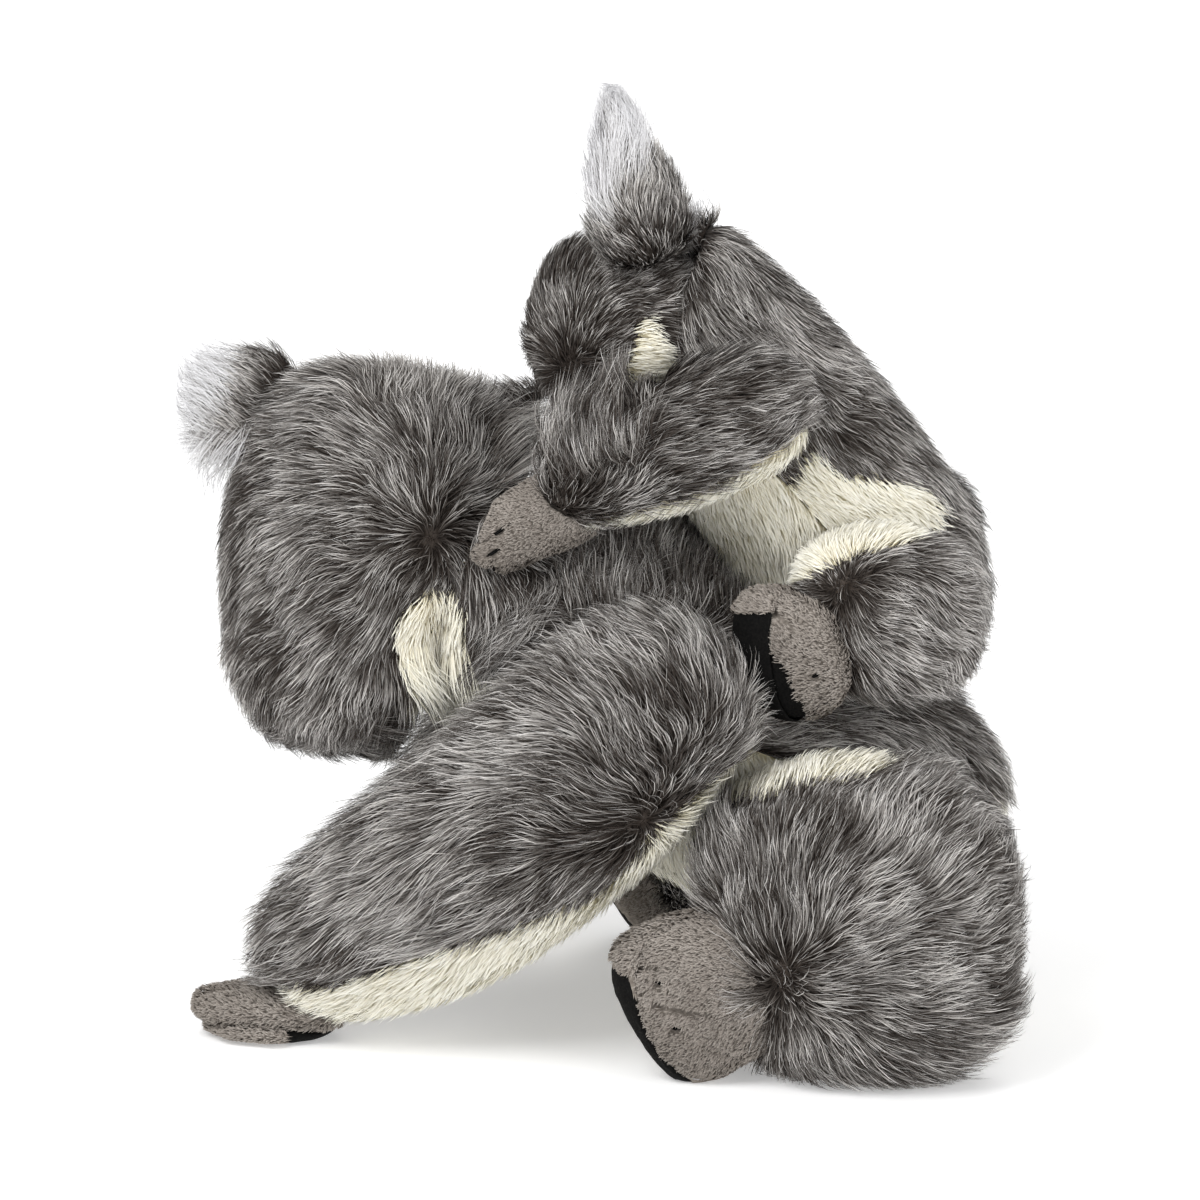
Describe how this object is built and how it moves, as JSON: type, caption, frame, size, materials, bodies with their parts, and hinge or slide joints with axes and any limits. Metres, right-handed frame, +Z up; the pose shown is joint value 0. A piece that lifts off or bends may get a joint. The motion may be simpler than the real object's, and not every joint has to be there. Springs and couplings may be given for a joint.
{
  "type": "plush koala",
  "caption": "Stuffed koala mother crouching on all fours with a smaller joey on her back, in long frosted pile with cream panels.",
  "frame": {"origin": "centre of the bounding box's bottom face, on the floor", "axes": "-X is the way the mother faces, -Y is her left, +Z is up"},
  "size_m": [0.3402, 0.2344, 0.3788],
  "materials": {
    "fur_grey": "long frosted pile",
    "fur_cream": "long pale pile",
    "paw_plush": "short pile",
    "suede_black": "matte suede",
    "bead_black": "gloss",
    "filling": "loose fibre"
  },
  "bodies": {
    "joey_left_arm": {"joey_arm_left": "fur_grey", "joey_arm_stuffing_left": "filling", "joey_hand_left": "paw_plush", "joey_underarm_left": "fur_cream"},
    "joey_right_arm": {"joey_arm_right": "fur_grey", "joey_arm_stuffing_right": "filling", "joey_hand_right": "paw_plush", "joey_underarm_right": "fur_cream"},
    "joey_torso": {"joey_back_panel": "fur_grey", "joey_belly_panel": "fur_cream", "joey_body_stuffing": "filling"},
    "joey_head": {"joey_chin_panel": "fur_cream", "joey_ear_left": "fur_grey", "joey_ear_right": "fur_grey", "joey_eye_left": "bead_black", "joey_eye_right": "bead_black", "joey_head_panel": "fur_grey", "joey_head_stuffing": "filling", "joey_nose": "bead_black"},
    "joey_left_leg": {"joey_foot_left": "paw_plush", "joey_leg_left": "fur_grey", "joey_leg_stuffing_left": "filling", "joey_sole_left": "suede_black"},
    "joey_right_leg": {"joey_foot_right": "paw_plush", "joey_leg_right": "fur_grey", "joey_leg_stuffing_right": "filling", "joey_sole_right": "suede_black"},
    "mother_left_arm": {"mother_arm_left": "fur_grey", "mother_arm_stuffing_left": "filling", "mother_hand_left": "paw_plush", "mother_palm_left": "suede_black", "mother_underarm_left": "fur_cream"},
    "mother_right_arm": {"mother_arm_right": "fur_grey", "mother_arm_stuffing_right": "filling", "mother_hand_right": "paw_plush", "mother_palm_right": "suede_black", "mother_underarm_right": "fur_cream"},
    "mother_torso": {"mother_back_panel": "fur_grey", "mother_belly_panel": "fur_cream", "mother_body_stuffing": "filling"},
    "mother_head": {"mother_chin_panel": "fur_cream", "mother_ear_left": "fur_grey", "mother_ear_lining_left": "fur_cream", "mother_ear_lining_right": "fur_cream", "mother_ear_right": "fur_grey", "mother_eye_left": "bead_black", "mother_eye_right": "bead_black", "mother_head_panel": "fur_grey", "mother_head_stuffing": "filling", "mother_muzzle": "fur_cream", "mother_nose": "bead_black"},
    "mother_left_leg": {"mother_foot_left": "paw_plush", "mother_leg_left": "fur_grey", "mother_leg_stuffing_left": "filling", "mother_sole_left": "suede_black"},
    "mother_right_leg": {"mother_foot_right": "paw_plush", "mother_leg_right": "fur_grey", "mother_leg_stuffing_right": "filling", "mother_sole_right": "suede_black"}
  },
  "joints": [
    {"name": "mother_head_tilt", "type": "hinge", "parent": "mother_torso", "child": "mother_head", "pos_m": [-0.0599, 0, 0.185], "axis": [-0.9205, 0, 0.3907], "range_deg": [-6, 6], "stiffness_Nm_per_rad": 2},
    {"name": "mother_left_arm_raise", "type": "hinge", "parent": "mother_torso", "child": "mother_left_arm", "pos_m": [0.0251, -0.076, 0.147], "axis": [0, 1, 0], "range_deg": [0, 8], "stiffness_Nm_per_rad": 1},
    {"name": "mother_left_leg_raise", "type": "hinge", "parent": "mother_torso", "child": "mother_left_leg", "pos_m": [0.1081, -0.074, 0.0643], "axis": [0, 1, 0], "range_deg": [0, 5], "stiffness_Nm_per_rad": 1},
    {"name": "mother_right_arm_raise", "type": "hinge", "parent": "mother_torso", "child": "mother_right_arm", "pos_m": [0.0251, 0.076, 0.147], "axis": [0, 1, 0], "range_deg": [0, 8], "stiffness_Nm_per_rad": 1},
    {"name": "mother_right_leg_raise", "type": "hinge", "parent": "mother_torso", "child": "mother_right_leg", "pos_m": [0.0701, 0.074, 0.0643], "axis": [0, 1, 0], "range_deg": [0, 5], "stiffness_Nm_per_rad": 1},
    {"name": "joey_lift_off", "type": "slide", "parent": "mother_torso", "child": "joey_torso", "axis": [0.3907, 0, 0.9205], "range_m": [0, 0.12]},
    {"name": "joey_head_tilt", "type": "hinge", "parent": "joey_torso", "child": "joey_head", "pos_m": [0.0291, 0, 0.289], "axis": [-0.9781, 0, 0.2079], "range_deg": [-8, 8], "stiffness_Nm_per_rad": 0.3},
    {"name": "joey_left_arm_raise", "type": "hinge", "parent": "joey_torso", "child": "joey_left_arm", "pos_m": [0.0661, -0.043, 0.268], "axis": [0, 1, 0], "range_deg": [0, 20], "stiffness_Nm_per_rad": 0.15},
    {"name": "joey_left_leg_raise", "type": "hinge", "parent": "joey_torso", "child": "joey_left_leg", "pos_m": [0.1151, -0.045, 0.185], "axis": [0, 1, 0], "range_deg": [0, 8], "stiffness_Nm_per_rad": 0.15},
    {"name": "joey_right_arm_raise", "type": "hinge", "parent": "joey_torso", "child": "joey_right_arm", "pos_m": [0.0661, 0.043, 0.268], "axis": [0, 1, 0], "range_deg": [0, 10], "stiffness_Nm_per_rad": 0.15},
    {"name": "joey_right_leg_raise", "type": "hinge", "parent": "joey_torso", "child": "joey_right_leg", "pos_m": [0.1011, 0.045, 0.185], "axis": [0, 1, 0], "range_deg": [0, 8], "stiffness_Nm_per_rad": 0.15}
  ]
}
